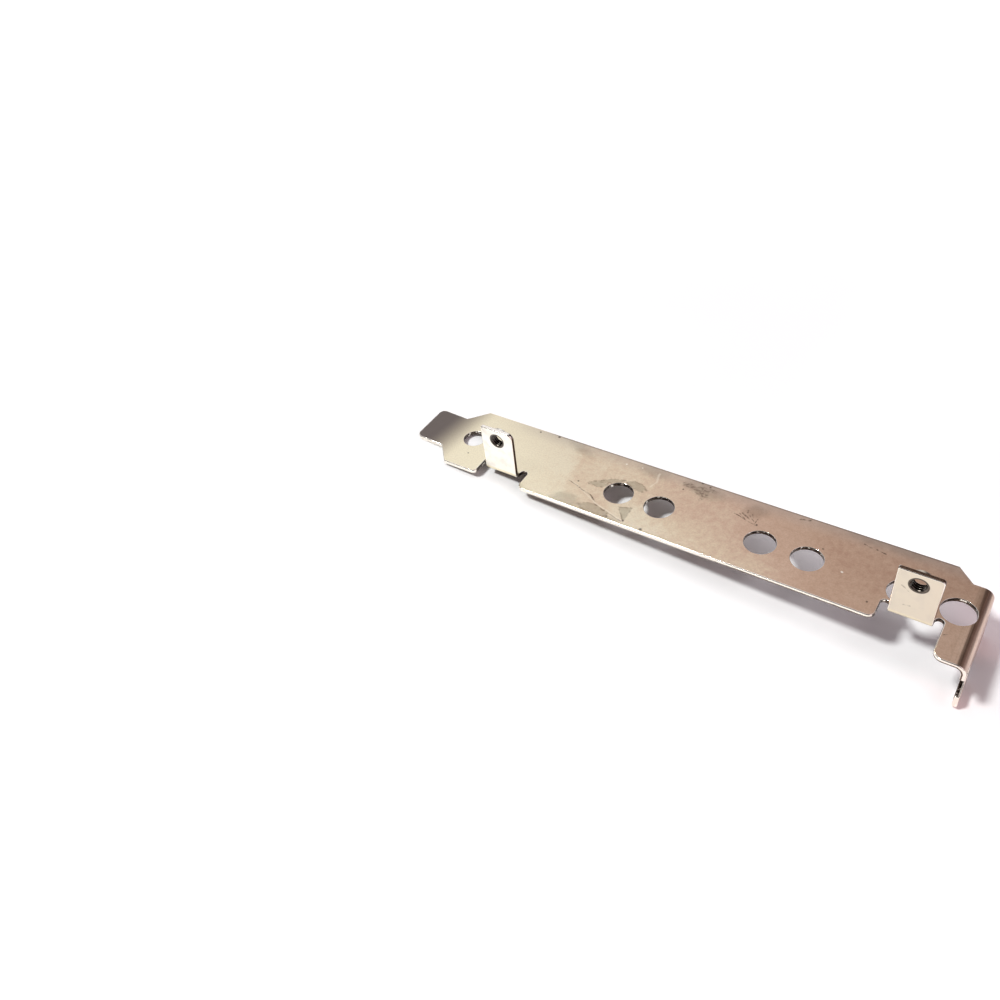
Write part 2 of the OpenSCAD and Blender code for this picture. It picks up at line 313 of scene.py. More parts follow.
def scratch_group():
    """A line from one point to another on the plate, over the marks under it: 1 on the line, 0 past its half width."""
    inputs = [("Under", "Float"), ("Plate", "Vector"), ("From", "Vector"), ("To", "Vector"), ("Half width", "Float")]
    tree, given = new_group("scratch", "ShaderNodeTree", inputs, ("Mark", "Float"))
    along = add(tree, *VECTOR_MINUS, {0: given["To"], 1: given["From"]}).outputs[0]
    away = add(tree, *VECTOR_MINUS, {0: given["Plate"], 1: given["From"]}).outputs[0]
    passed = add(tree, *DOT, {0: away, 1: along}).outputs["Value"]
    whole = add(tree, *DOT, {0: along, 1: along}).outputs["Value"]
    share = add(tree, "ShaderNodeMath", {"operation": "DIVIDE", "use_clamp": True}, {0: passed, 1: whole}).outputs[0]
    foot = add(tree, *VECTOR_SCALE, {0: along, "Scale": share}).outputs[0]
    gap = add(tree, "ShaderNodeVectorMath", {"operation": "DISTANCE"}, {0: away, 1: foot}).outputs["Value"]
    inner = add(tree, *TIMES, {0: given["Half width"], 1: SCRATCH_CORE}).outputs[0]
    mark = add(tree, *STEP, {"Value": gap, "From Min": given["Half width"], "From Max": inner}).outputs[0]
    both = add(tree, *LARGER, {0: given["Under"], 1: mark}).outputs[0]
    add(tree, "NodeGroupOutput", links={"Mark": both})
    return tree


def patch_group():
    """An oval patch on the plate, joined to those under it: how far inside its outline, in millimetres."""
    inputs = [("Under", "Float"), ("Plate", "Vector"), ("Centre", "Vector"), ("Stretch", "Vector")]
    inputs += [("Turn", "Float"), ("Half width", "Float")]
    tree, given = new_group("patch", "ShaderNodeTree", inputs, ("Inside", "Float"))
    away = add(tree, *VECTOR_MINUS, {0: given["Plate"], 1: given["Centre"]}).outputs[0]
    turned = add(
        tree, "ShaderNodeVectorRotate", {"rotation_type": "Z_AXIS"}, {"Vector": away, "Angle": given["Turn"]}
    ).outputs[0]
    unit = add(tree, *VECTOR_TIMES, {0: turned, 1: given["Stretch"]}).outputs[0]
    distance = add(tree, *LENGTH, {0: unit}).outputs["Value"]
    short = add(tree, *MINUS, {0: 1.0, 1: distance}).outputs[0]
    inside = add(tree, *TIMES, {0: short, 1: given["Half width"]}).outputs[0]
    both = add(tree, *LARGER, {0: given["Under"], 1: inside}).outputs[0]
    add(tree, "NodeGroupOutput", links={"Inside": both})
    return tree


def wedge_group():
    """A wedge that narrows to a tip on the plate, joined to what is under it: millimetres inside its outline."""
    inputs = [("Under", "Float"), ("Plate", "Vector"), ("Tip", "Vector"), ("Turn", "Float")]
    inputs += [("Half angle", "Float"), ("Length", "Float")]
    tree, given = new_group("wedge", "ShaderNodeTree", inputs, ("Inside", "Float"))
    away = add(tree, *VECTOR_MINUS, {0: given["Plate"], 1: given["Tip"]}).outputs[0]
    turned = add(
        tree, "ShaderNodeVectorRotate", {"rotation_type": "Z_AXIS"}, {"Vector": away, "Angle": given["Turn"]}
    ).outputs[0]
    forward, sideways, _ = add(tree, "ShaderNodeSeparateXYZ", links={0: turned}).outputs
    cosine = add(tree, *COSINE, {0: given["Half angle"]}).outputs[0]
    sine = add(tree, *SINE, {0: given["Half angle"]}).outputs[0]
    off_axis = add(tree, *ABSOLUTE, {0: sideways}).outputs[0]
    shrink = add(tree, *TIMES, {0: off_axis, 1: cosine}).outputs[0]
    grow = add(tree, *TIMES, {0: forward, 1: sine}).outputs[0]
    from_side = add(tree, *MINUS, {0: grow, 1: shrink}).outputs[0]
    from_end = add(tree, *MINUS, {0: given["Length"], 1: forward}).outputs[0]
    inside = add(tree, "ShaderNodeMath", {"operation": "MINIMUM"}, {0: from_side, 1: from_end}).outputs[0]
    both = add(tree, *LARGER, {0: given["Under"], 1: inside}).outputs[0]
    add(tree, "NodeGroupOutput", links={"Inside": both})
    return tree


SCRATCH, PATCH, WEDGE = scratch_group(), patch_group(), wedge_group()
# Where no patch is near, a point is this many millimetres inside one
FAR_OUTSIDE = -9.0

# Scratches that show dark, each (from, to, half width), in plate millimetres
SCRATCHES = [
    ((38.3, -2.4), (44.5, -4.4), 0.16),
    ((44.5, -4.4), (46.3, -5.7), 0.18),
    ((46.3, -6.25), (53.7, -8.4), 0.13),
    ((72.3, 3.9), (77.4, 2.4), 0.15),
    ((73.7, 4.6), (75.5, 3.7), 0.24),
    ((74.4, 5.8), (74.6, 4.9), 0.20),
    ((75.6, 5.0), (76.1, 4.3), 0.20),
    ((76.9, 2.6), (77.0, 4.4), 0.14),
    ((73.2, 4.3), (74.7, 3.4), 0.14),
    ((75.1, 4.7), (76.6, 3.3), 0.14),
    ((96.8, 7.0), (98.2, 6.6), 0.20),
    ((99.2, 6.6), (100.9, 6.3), 0.20),
    ((84.2, 8.0), (86.0, 8.5), 0.28),
    ((114.6, -7.5), (115.3, -7.2), 0.16),
]
# Scratches drawn in a light tone
BRIGHT_SCRATCHES = [
    ((38.8, -2.1), (46.1, -5.8), 0.14),
    ((46.1, -5.9), (53.9, -8.1), 0.24),
    ((54.3, 7.6), (54.8, 5.0), 0.34),
    ((54.8, 5.0), (54.3, 3.2), 0.22),
]
# Scratches on the outer faces of the tabs, with the height above the plate in place of the width
TAB_SCRATCHES = [
    ((21.1, 7.7), (21.9, 6.3), 0.16),
    ((106.3, 7.5), (106.8, 7.2), 0.20),
    ((106.8, 7.2), (107.8, 6.4), 0.14),
    ((107.3, 3.0), (108.4, 3.2), 0.22),
]
# The drawn-in mouths of the tapped holes, in the same coordinates, each (centre, half length, half width, turn)
TAP_MOUTHS = [
    ((24.05, 8.65), 1.76, 1.76, 0.0),
    ((108.85, 8.65), 1.76, 1.76, 0.0),
]
# Dried stains, each an oval (centre, half length, half width, turn in degrees)
STAINS = [
    ((44.5, -0.8), 1.9, 0.75, 14.0),
    ((46.6, 1.3), 3.2, 0.55, 27.0),
    ((51.8, 2.1), 2.3, 1.1, -20.0),
    ((47.0, -7.9), 3.3, 1.25, -4.0),
]
# Stains that dried to a point, each (tip, direction, half angle, length), the angles in degrees
POINTED_STAINS = [
    ((54.0, -8.2), 110.0, 19.0, 4.0),
]
# Speckled blotches, each an oval as above
BLOTCHES = [
    ((61.2, 7.3), 1.7, 0.9, -8.0),
    ((64.2, 6.7), 1.9, 1.5, -30.0),
    ((65.9, 7.7), 1.3, 0.6, 0.0),
    ((64.8, 5.1), 0.7, 0.9, 0.0),
]
# Soft grey smudges
SMUDGES = [
    ((40.5, -8.3), 3.2, 2.4, 0.0),
    ((35.6, 7.6), 3.2, 1.2, -20.0),
    ((53.0, 7.8), 3.2, 1.5, -4.0),
    ((64.6, 7.4), 4.4, 2.2, -8.0),
    ((75.9, 6.2), 2.4, 1.7, 30.0),
    ((97.2, 8.6), 3.4, 1.2, -4.0),
    ((104.0, 8.8), 4.0, 1.4, 0.0),
    ((51.6, -8.6), 1.4, 0.9, 0.0),
]
# Dark specks and pits, each (centre, radius)
SPECKS = [
    ((24.7, 8.4), 0.22),
    ((29.4, 8.8), 0.30),
    ((58.1, -8.6), 0.34),
    ((45.3, -5.1), 0.18),
    ((40.2, -1.8), 0.20),
    ((77.4, 2.7), 0.24),
    ((53.9, -8.0), 0.24),
    ((50.4, -8.3), 0.22),
    ((90.6, 2.4), 0.20),
    ((101.4, -6.4), 0.22),
    ((14.0, -4.8), 0.20),
    ((60.6, 5.6), 0.20),
    ((63.4, 8.9), 0.26),
    ((65.2, 8.5), 0.22),
]
# Painted highlights: small bright glints
GLINTS = [
    ((46.8, 7.3), 0.22),
    ((50.3, 7.7), 0.18),
    ((95.4, -1.6), 0.24),
]


def plate_coordinates(tree):
    """Object coordinates turned into plate coordinates, in millimetres."""
    place = add(tree, "ShaderNodeTexCoord").outputs["Object"]
    hole = Vector(mounts["connector_hole_1"]["pos_m"]) / MM
    level = Matrix.Rotation(REST_TILT, 3, "Y") @ hole
    shift = Vector((FIRST_HOLE_FROM_TIP, FIRST_HOLE_OFFSET, -HALF_SHEET)) - level
    return add(
        tree,
        "ShaderNodeMapping",
        {"vector_type": "POINT"},
        {"Vector": place, "Location": shift, "Rotation": (0.0, REST_TILT, 0.0), "Scale": (1 / MM, 1 / MM, 1 / MM)},
    ).outputs[0]


def bend_reach(tree, past_centre):
    """How far a point lies past a bend's centre, in the plate's direction, the folded part's, or round the bend."""
    reach = add(
        tree, "ShaderNodeVectorMath", {"operation": "MAXIMUM"}, {0: past_centre, 1: (0.0, 0.0, 0.0)}
    ).outputs[0]
    return add(tree, *LENGTH, {0: reach}).outputs["Value"]


def depth_in_plate(tree, plate):
    """Millimetres below the sheet's tab side, on the plate, round the flange's bend and down the flange."""
    centre = (FLANGE_BEND_CENTRE[0], BEYOND, FLANGE_BEND_CENTRE[1])
    past_centre = add(tree, *VECTOR_MINUS, {0: plate, 1: centre}).outputs[0]
    reach = bend_reach(tree, past_centre)
    return add(tree, *MINUS, {0: FLANGE_BEND_RADIUS, 1: reach}).outputs[0]


def depth_in_tabs(tree, plate):
    """Millimetres below the same side, round the tabs' bends and up the tabs, where it is their inner side."""
    centre = (-BEYOND, *TAB_BEND_CENTRE)
    past_centre = add(tree, *VECTOR_MINUS, {0: centre, 1: plate}).outputs[0]
    reach = bend_reach(tree, past_centre)
    return add(tree, *MINUS, {0: reach, 1: TAB_BEND_RADIUS}).outputs[0]


def drawn(tree, lines, surface):
    """Lines laid over each other, each (from, to, half width): 1 on a line."""
    marks = 0.0
    for start, end, half_width in lines:
        marks = add(
            tree,
            "ShaderNodeGroup",
            {"node_tree": SCRATCH},
            {"Under": marks, "Plate": surface, "From": (*start, 0.0), "To": (*end, 0.0), "Half width": half_width},
        ).outputs[0]
    return marks


def joined(tree, patches, surface):
    """Ovals joined to each other, each (centre, half length, half width, turn in degrees): millimetres inside."""
    inside = FAR_OUTSIDE
    for centre, half_length, half_width, turn in patches:
        inside = add(
            tree,
            "ShaderNodeGroup",
            {"node_tree": PATCH},
            {
                "Under": inside,
                "Plate": surface,
                "Centre": (*centre, 0.0),
                "Stretch": (1 / half_length, 1 / half_width, 0.0),
                "Turn": math.radians(-turn),
                "Half width": half_width,
            },
        ).outputs[0]
    return inside


def pointed(tree, wedges, inside, surface):
    """Wedges joined to what is under them, each (tip, direction, half angle, length): millimetres inside."""
    for tip, turn, half_angle, length in wedges:
        inside = add(
            tree,
            "ShaderNodeGroup",
            {"node_tree": WEDGE},
            {
                "Under": inside,
                "Plate": surface,
                "Tip": (*tip, 0.0),
                "Turn": math.radians(-turn),
                "Half angle": math.radians(half_angle),
                "Length": length,
            },
        ).outputs[0]
    return inside


def tarnish(tree, plate, wavy, mottled):
    """The film of tarnish: it starts on a slanting front a third of the way along, and deepens to the flange."""
    along, across, _ = add(tree, "ShaderNodeSeparateXYZ", links={0: plate}).outputs
    slant = add(tree, *DOT, {0: wavy, 1: (0.96, 0.26, 0.0)}).outputs["Value"]
    front = add(tree, *STEP, {"Value": slant, "From Min": 34.6, "From Max": 37.4, "To Max": 0.17}).outputs[0]
    deepening = add(tree, *STEP, {"Value": along, "From Min": 36.0, "From Max": 112.0, "To Max": 0.72}).outputs[0]
    # The side with the tabs is wiped thinner in the middle of the plate and again by the flange
    wiped = 0.0
    for start, end, change in ((46.0, 58.0, -0.3), (80.0, 90.0, 0.22), (102.0, 110.0, -0.26)):
        here = add(tree, *STEP, {"Value": along, "From Min": start, "From Max": end, "To Max": change}).outputs[0]
        wiped = add(tree, *PLUS, {0: wiped, 1: here}).outputs[0]
    by_tabs = add(tree, *STEP, {"Value": across, "From Min": 1.0, "From Max": -9.0}).outputs[0]
    wiped_by_tabs = add(tree, *TIMES, {0: by_tabs, 1: wiped}).outputs[0]
    # The bend stretched the plating
    in_bend = add(tree, *STEP, {"Value": along, "From Min": BEND_START, "From Max": BEND_DEEP}).outputs[0]
    stretched = add(tree, *STEP, {"Value": in_bend, "From Min": 0.0, "From Max": 1.0, "To Max": -0.12}).outputs[0]
    clouds = add(tree, NOISE, links={"Vector": plate, "Scale": 1 / CLOUD, "Detail": 2.0}).outputs["Fac"]
    cloudy = add(
        tree,
        "ShaderNodeMapRange",
        links={"Value": clouds, "From Min": 0.3, "From Max": 0.7, "To Min": -0.09, "To Max": 0.09},
    ).outputs[0]
    film = 0.0
    for share in (front, deepening, wiped_by_tabs, stretched, cloudy, mottled):
        film = add(tree, *PLUS, {0: film, 1: share}).outputs[0]
    return film


def shades(tree, plate, flat):
    """Smudges, a fine speckle, and faint lines in the bend, which darken what is under them: (share, colour)."""
    along = add(tree, "ShaderNodeSeparateXYZ", links={0: plate}).outputs[0]
    smudge_inside = joined(tree, SMUDGES, flat)
    smudged = add(tree, *STEP, {"Value": smudge_inside, "From Min": -0.9, "From Max": 0.9, "To Max": 0.45}).outputs[0]
    speckle = add(tree, NOISE, links={"Vector": plate, "Scale": 1 / SPECKLE, "Detail": 2.0}).outputs["Fac"]
    speckled = add(tree, *STEP, {"Value": speckle, "From Min": 0.35, "From Max": 0.68, "To Max": 0.16}).outputs[0]
    in_bend = add(tree, *STEP, {"Value": along, "From Min": BEND_START, "From Max": BEND_DEEP}).outputs[0]
    drawn_out = add(tree, *VECTOR_TIMES, {0: plate, 1: [1 / size for size in BEND_STREAK]}).outputs[0]
    streaks = add(tree, NOISE, links={"Vector": drawn_out, "Scale": 1.0, "Detail": 2.0}).outputs["Fac"]
    streaked = add(tree, *STEP, {"Value": streaks, "From Min": 0.4, "From Max": 0.6, "To Max": 0.5}).outputs[0]
    bend_lines = add(tree, *TIMES, {0: streaked, 1: in_bend}).outputs[0]
    return [(smudged, "#B9BAB9"), (speckled, "#B4AAA6"), (bend_lines, "#A0948B")]


def painted_light_tones(tree, plate):
    """Painted shade and reflections on the tab side, along the far edge, on the flange's outer face and on the tongue,
    in the order the tones are laid on: (share, colour).
    """
    along, across, _ = add(tree, "ShaderNodeSeparateXYZ", links={0: plate}).outputs
    # Painted shade: a greyer band runs along the far edge, with a narrow dark line at the very edge
    far_band = add(tree, *STEP, {"Value": across, "From Min": 5.0, "From Max": 9.6, "To Max": 0.45}).outputs[0]
    past_foot = add(tree, *STEP, {"Value": along, "From Min": 12.0, "From Max": 30.0}).outputs[0]
    painted_far_edge_shade = add(tree, *TIMES, {0: far_band, 1: past_foot}).outputs[0]
    at_edge = add(tree, *STEP, {"Value": across, "From Min": 8.75, "From Max": 9.05, "To Max": 0.6}).outputs[0]
    past_tab = add(tree, *STEP, {"Value": along, "From Min": 25.0, "From Max": 31.0}).outputs[0]
    painted_far_edge_line = add(tree, *TIMES, {0: at_edge, 1: past_tab}).outputs[0]
    # Painted reflection: the flange's outer face is lighter and pinker
    painted_flange_sheen = add(tree, *STEP, {"Value": along, "From Min": 118.8, "From Max": 119.7, "To Max": 0.4}).outputs[0]
    # Painted reflection: the tongue is darkened to grey towards its tip, and to brown next to that
    tongue_shade_reach = add(tree, *TIMES_PLUS, {0: across, 1: -0.12, 2: along}).outputs[0]
    painted_tongue_fringe = add(tree, *STEP, {"Value": tongue_shade_reach, "From Min": 12.5, "From Max": 6.0, "To Max": 0.35}).outputs[0]
    painted_tongue_shade = add(tree, *STEP, {"Value": tongue_shade_reach, "From Min": 12.0, "From Max": 3.4}).outputs[0]
    return [
        (painted_far_edge_shade, "#B3A89E"),
        (painted_flange_sheen, "#E2CFC6"),
        (painted_tongue_fringe, "#A58F7E"),
        (painted_tongue_shade, "#726963"),
        (painted_far_edge_line, "#6E5F55"),
    ]


def marks_on_plate(tree, plate, flat, on_plate, broken, stain_inside, stained):
    """Stains, scratches, specks and painted glints of the tab side, in the order they are laid on: (share, colour)."""
    # A stain dries from its edge, where it leaves the most behind
    from_rim = add(tree, *ABSOLUTE, {0: stain_inside}).outputs[0]
    rim = add(tree, *STEP, {"Value": from_rim, "From Min": 0.22, "From Max": 0.03, "To Max": 0.72}).outputs[0]
    stain_rim = add(tree, *TIMES, {0: rim, 1: broken}).outputs[0]
    # A blotch is a crowd of small dark spots
    spots = add(tree, NOISE, links={"Vector": plate, "Scale": 1 / SPOT, "Detail": 3.0}).outputs["Fac"]
    spotted = add(
        tree, *STEP, {"Value": spots, "From Min": 0.44, "From Max": 0.62, "To Min": 0.22, "To Max": 0.75}
    ).outputs[0]
    blotch_inside = joined(tree, BLOTCHES, flat)
    in_blotch = add(tree, *STEP, {"Value": blotch_inside, "From Min": -0.1, "From Max": 0.35}).outputs[0]
    blotched = add(tree, *TIMES, {0: in_blotch, 1: spotted}).outputs[0]
    dark_lines = add(tree, *TIMES, {0: drawn(tree, SCRATCHES, on_plate), 1: broken}).outputs[0]
    bright_lines = add(tree, *TIMES, {0: drawn(tree, BRIGHT_SCRATCHES, on_plate), 1: 0.42}).outputs[0]
    round_marks = []
    for places in (SPECKS, GLINTS):
        inside = joined(tree, [(centre, radius, radius, 0.0) for centre, radius in places], on_plate)
        round_marks.append(
            add(tree, *STEP, {"Value": inside, "From Min": -0.08, "From Max": 0.12, "To Max": 0.8}).outputs[0]
        )
    specks, glints = round_marks
    return [
        (stained, "#9E9882"),
        (blotched, "#7B6A5B"),
        (bright_lines, "#F6EAD4"),
        (stain_rim, "#6F5F4E"),
        (dark_lines, "#5F4E41"),
        (specks, "#4A3D34"),
        (glints, "#FFF8E8"),
    ]


def tones_of_tabs(tree, plate, broken):
    """The tabs' own tones and scratches, a painted highlight on the tab by the tongue and painted shade at the tapped
    holes' mouths, in the order they are laid on: (share, colour).
    """
    along, _, height = add(tree, "ShaderNodeSeparateXYZ", links={0: plate}).outputs
    on_tabs = add(tree, *STEP, {"Value": height, "From Min": 0.5, "From Max": 1.0}).outputs[0]
    # Painted highlight: the tab by the tongue is lightened nearly to white
    by_tongue = add(tree, *STEP, {"Value": along, "From Min": 45.0, "From Max": 35.0, "To Max": 0.9}).outputs[0]
    painted_tab_highlight = add(tree, *TIMES, {0: on_tabs, 1: by_tongue}).outputs[0]
    smears = add(tree, NOISE, links={"Vector": plate, "Scale": 1 / SMEAR, "Detail": 3.0}).outputs["Fac"]
    smear = add(tree, *STEP, {"Value": smears, "From Min": 0.45, "From Max": 0.68, "To Max": 0.3}).outputs[0]
    smeared = add(tree, *TIMES, {0: smear, 1: on_tabs}).outputs[0]
    tab_flat = add(tree, "ShaderNodeCombineXYZ", links={0: along, 1: height}).outputs[0]
    lines = add(tree, *TIMES, {0: drawn(tree, TAB_SCRATCHES, tab_flat), 1: on_tabs}).outputs[0]
    broken_lines = add(tree, *TIMES, {0: lines, 1: broken}).outputs[0]
    # Painted shade: a dark ring round the mouth of each tapped hole. Inside it the mouth is a darker grey
    mouth_inside = joined(tree, TAP_MOUTHS, tab_flat)
    painted_mouth_ring = add(tree, *STEP, {"Value": mouth_inside, "From Min": -0.05, "From Max": 0.06, "To Max": 0.9}).outputs[0]
    mouth = add(tree, *STEP, {"Value": mouth_inside, "From Min": 0.16, "From Max": 0.26, "To Max": 0.9}).outputs[0]
    return [
        (on_tabs, "#DCD1BE"),
        (painted_tab_highlight, "#FFFDF2"),
        (smeared, "#CDC3B6"),
        (broken_lines, "#A1978A"),
        (painted_mouth_ring, "#332C27"),
        (mouth, "#70675F"),
    ]


def plated_steel():
    """Half-bright nickel over rolled steel: a warm grey metal with soft reflections, dulled by handling.
    The eye sees a cream sheen that browns where it tarnishes, grey dried stains with brown rims, and fine scratches.
    Painted reflections darken the tongue and the far edge and lighten the flange's outer face; a painted highlight
    lightens the tab by the tongue, and painted glints and painted shade at the tapped holes' mouths are laid on too."""
    material, tree = new_material("half_bright_nickel_plate")
    plate = plate_coordinates(tree)
    along, across, _ = add(tree, "ShaderNodeSeparateXYZ", links={0: plate}).outputs
    # Tarnish and marks are on the plate's tab side, and follow it round the bend to the flange's outer face
    facing = add(tree, "ShaderNodeTexCoord").outputs["Normal"]
    upwards = add(tree, *DOT, {0: facing, 1: (0.6, 0.0, 0.8)}).outputs["Value"]
    tab_side = add(tree, *STEP, {"Value": upwards, "From Min": 0.15, "From Max": 0.5}).outputs[0]
    underside = add(tree, *STEP, {"Value": upwards, "From Min": -0.3, "From Max": -0.55}).outputs[0]
    # Drying and handling left the outlines of stains wavy, by about 0.5 mm, and scratches less so
    waves = add(tree, NOISE, links={"Vector": plate, "Scale": 1 / WAVE, "Detail": 4.0, "Roughness": 0.65})
    centred = add(tree, *VECTOR_MINUS, {0: waves.outputs["Color"], 1: (0.5, 0.5, 0.5)}).outputs[0]
    wavered = []
    for reach in (2.2, 0.6):
        wander = add(tree, *VECTOR_SCALE, {0: centred, "Scale": reach}).outputs[0]
        wavered.append(add(tree, *VECTOR_PLUS, {0: plate, 1: wander}).outputs[0])
    flat, on_plate = [add(tree, *VECTOR_TIMES, {0: place, 1: (1.0, 1.0, 0.0)}).outputs[0] for place in wavered]
    mottles = {"Vector": plate, "Scale": 1 / MOTTLE, "Detail": 5.0, "Roughness": 0.7}
    mottle = add(tree, NOISE, links=mottles).outputs["Fac"]
    mottled = add(
        tree,
        "ShaderNodeMapRange",
        links={"Value": mottle, "From Min": 0.3, "From Max": 0.7, "To Min": -0.13, "To Max": 0.13},
    ).outputs[0]
    broken = add(
        tree, *STEP, {"Value": mottle, "From Min": 0.4, "From Max": 0.6, "To Min": 0.1, "To Max": 0.85}
    ).outputs[0]

    # The film goes from cream over straw to a pinkish brown as it gets thicker
    film = add(
        tree,
        "ShaderNodeMath",
        {"operation": "MULTIPLY", "use_clamp": True},
        {0: tarnish(tree, plate, wavered[0], mottled), 1: tab_side},
    ).outputs[0]
    tones = ((0.0, "#EDE0C4"), (0.22, "#E3CEB1"), (0.5, "#D4B59D"), (0.8, "#C9A88F"), (1.0, "#BD9881"))
    plated = set_stops(add(tree, "ShaderNodeValToRGB", links={"Fac": film}), tones)
    # The plating is freshest round the tab by the tongue
    fresh_reach = add(tree, *TIMES_PLUS, {0: across, 1: 0.9, 2: along}).outputs[0]
    fresh = add(tree, *STEP, {"Value": fresh_reach, "From Min": 44.0, "From Max": 14.0}).outputs[0]
    colour = add(tree, *BLEND, {"Factor": fresh, "A": plated, "B": linear("#FCF2D2")}).outputs["Result"]

    stain_inside = pointed(tree, POINTED_STAINS, joined(tree, STAINS, flat), on_plate)
    stained = add(tree, *STEP, {"Value": stain_inside, "From Min": -0.08, "From Max": 0.2, "To Max": 0.42}).outputs[0]
    for share, tint in shades(tree, plate, flat):
        here = add(tree, *TIMES, {0: share, 1: tab_side}).outputs[0]
        colour = add(tree, *SHADE, {"Factor": here, "A": colour, "B": linear(tint)}).outputs["Result"]
    marks = marks_on_plate(tree, plate, flat, on_plate, broken, stain_inside, stained)
    for share, tint in painted_light_tones(tree, plate) + marks:
        here = add(tree, *TIMES, {0: share, 1: tab_side}).outputs[0]
        colour = add(tree, *BLEND, {"Factor": here, "A": colour, "B": linear(tint)}).outputs["Result"]
    # The underside has tarnished, least by the flange
    to_flange = add(tree, *STEP, {"Value": along, "From Min": 50.0, "From Max": 95.0}).outputs[0]
    under_tone = add(
        tree, *BLEND, {"Factor": to_flange, "A": linear("#9C9186"), "B": linear("#C6BFC1")}
    ).outputs["Result"]
    colour = add(tree, *BLEND, {"Factor": underside, "A": colour, "B": under_tone}).outputs["Result"]
    for share, tint in tones_of_tabs(tree, plate, broken):
        colour = add(tree, *BLEND, {"Factor": share, "A": colour, "B": linear(tint)}).outputs["Result"]

    # Dried stains scatter more light than the plating round them
    dulled = add(tree, *TIMES_PLUS, {0: stained, 1: 0.2, 2: 0.33}).outputs[0]
    roughness = add(tree, *TIMES_PLUS, {0: mottled, 1: 0.3, 2: dulled}).outputs[0]
    # The rolled grain is drawn out along the sheet
    grain_lines = add(tree, *VECTOR_TIMES, {0: plate, 1: [1 / size for size in ROLLED_GRAIN]}).outputs[0]
    grain = add(tree, NOISE, links={"Vector": grain_lines, "Scale": 1.0, "Detail": 2.0}).outputs["Fac"]
    relief = {"Height": grain, "Strength": 0.05, "Distance": RELIEF_HEIGHT * MM}
    grain_relief = add(tree, "ShaderNodeBump", links=relief).outputs[0]
    metal = add(
        tree,
        "ShaderNodeBsdfPrincipled",
        links={"Base Color": colour, "Metallic": 1.0, "Roughness": roughness, "Normal": grain_relief},
    )
    add(tree, "ShaderNodeOutputMaterial", links={"Surface": metal.outputs[0]})
    return material


